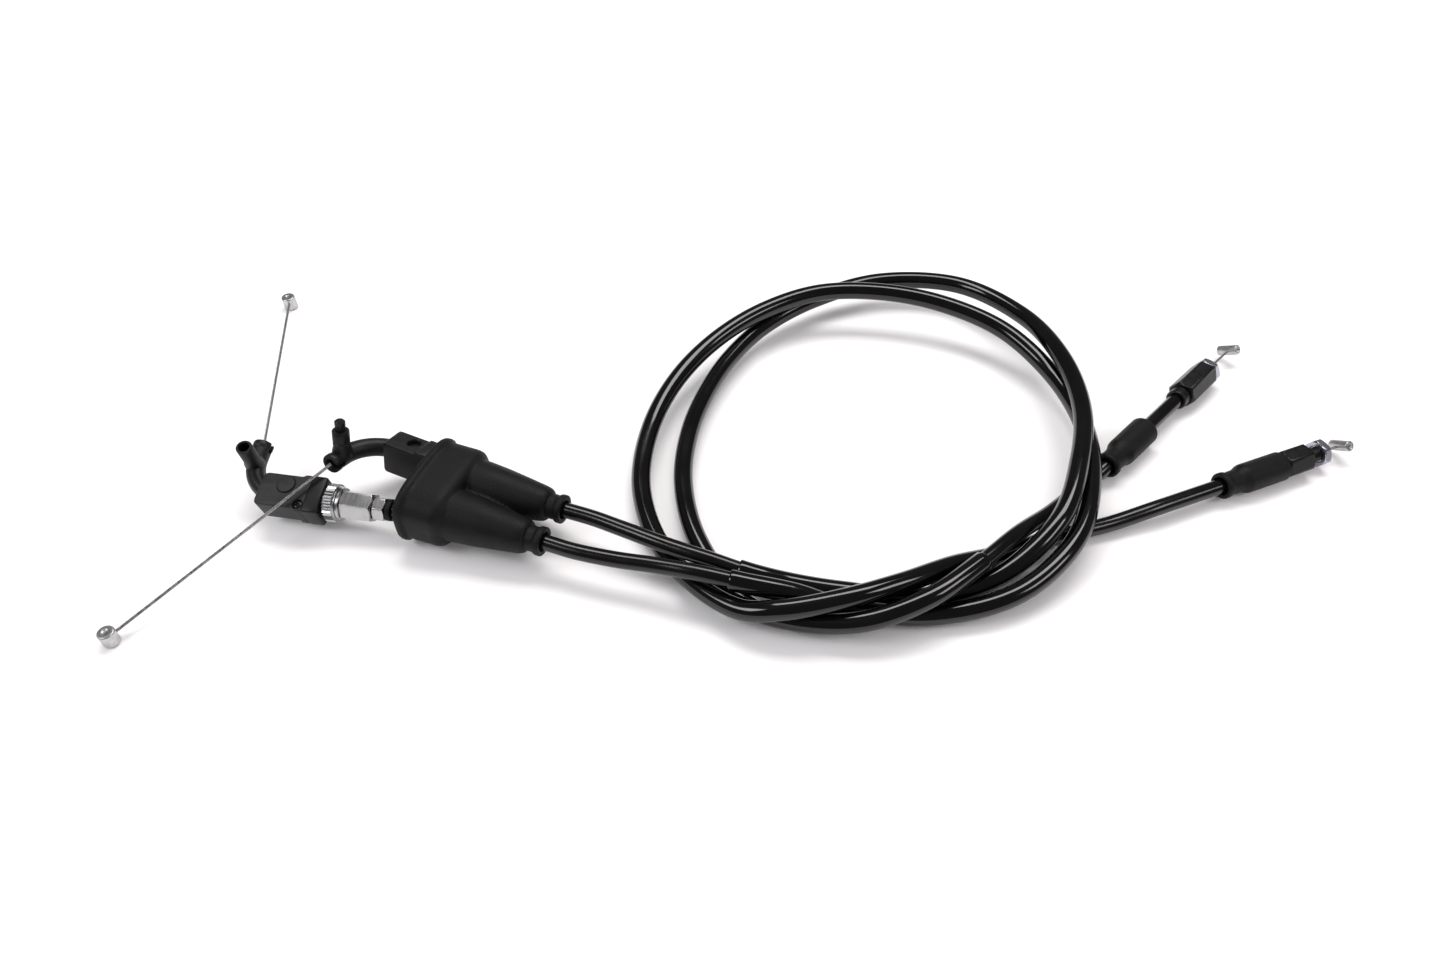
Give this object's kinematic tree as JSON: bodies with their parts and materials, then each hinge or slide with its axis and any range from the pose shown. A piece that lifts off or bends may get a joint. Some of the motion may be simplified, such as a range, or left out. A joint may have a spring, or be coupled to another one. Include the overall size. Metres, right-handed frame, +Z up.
{
  "type": "throttle cable pair",
  "caption": "Push-pull throttle cables lying in a loose loop, with elbow guides and a double rubber boot at the twistgrip end and threaded fittings at the carburettor end.",
  "frame": {"origin": "on the floor, at the middle of the box around everything but the sheathed cables", "axes": "+X from the twistgrip end to the carburettor end, +Z up from the floor it lies on"},
  "size_m": [0.4676, 0.2003, 0.0362],
  "materials": {
    "casing": "semi-gloss black extruded casing",
    "sleeve": "gloss black outer sleeve",
    "boot_rubber": "matte black moulded rubber",
    "block_plastic": "dark grey moulded plastic",
    "elbow_plastic": "near-black moulded plastic",
    "zinc": "zinc-plated steel, satin",
    "black_steel": "black-finished steel",
    "strand": "stranded steel wire"
  },
  "bodies": {
    "cables": {"pull_casing": "casing", "pull_sleeve": "sleeve", "pull_core_wire": "strand", "pull_carb_fitting": "black_steel", "pull_carb_ferrule": "black_steel", "pull_casing_ferrule": "zinc", "pull_seal_ring": "boot_rubber", "return_casing": "casing", "return_sleeve": "sleeve", "return_core_wire": "strand", "return_carb_fitting": "black_steel", "return_carb_ferrule": "black_steel", "return_casing_ferrule": "zinc", "return_guide_block": "block_plastic", "return_elbow": "elbow_plastic", "return_elbow_wire": "strand", "return_throttle_wire": "strand"},
    "adjuster": {"pull_adjuster": "zinc"},
    "pull_guide": {"pull_guide_block": "block_plastic", "pull_guide_plug": "block_plastic", "pull_guide_screw": "black_steel", "pull_guide_stem": "zinc", "pull_elbow": "elbow_plastic", "pull_elbow_wire": "strand", "pull_throttle_wire": "strand"},
    "lock_ring": {"pull_lock_ring": "zinc"},
    "pull_grip_nipple": {"pull_throttle_nipple": "zinc"},
    "return_grip_nipple": {"return_throttle_nipple": "zinc"},
    "pull_carb_end": {"pull_carb_wire": "strand", "pull_carb_nipple": "zinc"},
    "return_carb_end": {"return_carb_wire": "strand", "return_carb_nipple": "zinc"},
    "pull_nut": {"pull_lock_nut": "zinc"},
    "return_nut": {"return_lock_nut": "zinc"},
    "pull_boot": {"pull_carb_boot": "boot_rubber"},
    "return_boot": {"return_carb_boot": "boot_rubber"},
    "double_boot": {"double_boot": "boot_rubber"}
  },
  "joints": [
    {"name": "adjuster_turn", "type": "hinge", "parent": "cables", "child": "adjuster", "pos_m": [-0.15543, -0.04124, 0.0115], "axis": [0.9863, -0.165, 0], "range_deg": [0, 1440]},
    {"name": "guide_slide", "type": "slide", "parent": "cables", "child": "pull_guide", "axis": [-0.9863, 0.165, 0], "range_m": [0, 0.004]},
    {"name": "lock_ring_turn", "type": "hinge", "parent": "pull_guide", "child": "lock_ring", "pos_m": [-0.1646, -0.0397, 0.0115], "axis": [0.9863, -0.165, 0], "continuous": true},
    {"name": "pull_wire_slide", "type": "slide", "parent": "cables", "child": "pull_carb_end", "axis": [0.9278, 0.373, 0], "range_m": [0, 0.03]},
    {"name": "pull_grip_slide", "type": "slide", "parent": "pull_guide", "child": "pull_grip_nipple", "axis": [0.2225, -0.9675, 0.1199], "range_m": [0, 0.03], "deforming": ["pull_throttle_wire"]},
    {"name": "return_wire_slide", "type": "slide", "parent": "cables", "child": "return_carb_end", "axis": [0.7108, 0.7034, 0], "range_m": [0, 0.03]},
    {"name": "return_grip_slide", "type": "slide", "parent": "cables", "child": "return_grip_nipple", "axis": [0.6942, 0.6923, 0.1972], "range_m": [0, 0.03], "deforming": ["return_throttle_wire"]},
    {"name": "pull_nut_turn", "type": "hinge", "parent": "cables", "child": "pull_nut", "pos_m": [0.21954, -0.00805, 0.006], "axis": [0.9278, 0.373, 0], "continuous": true},
    {"name": "return_nut_turn", "type": "hinge", "parent": "cables", "child": "return_nut", "pos_m": [0.19057, 0.0418, 0.006], "axis": [0.7108, 0.7034, 0], "continuous": true},
    {"name": "pull_boot_slide", "type": "slide", "parent": "cables", "child": "pull_boot", "axis": [0.9278, 0.373, 0], "range_m": [-0.02, 0]},
    {"name": "return_boot_slide", "type": "slide", "parent": "cables", "child": "return_boot", "axis": [0.7108, 0.7034, 0], "range_m": [0, 0.029]},
    {"name": "double_boot_slide", "type": "slide", "parent": "cables", "child": "double_boot", "axis": [0.9367, -0.3502, 0], "range_m": [0, 0.008]}
  ],
  "couplings": [
    {"joint": "adjuster_turn", "follows": "guide_slide", "rad_per_m": 6283.2},
    {"joint": "pull_grip_slide", "follows": "pull_wire_slide", "ratio": 1},
    {"joint": "return_grip_slide", "follows": "return_wire_slide", "ratio": 1}
  ]
}
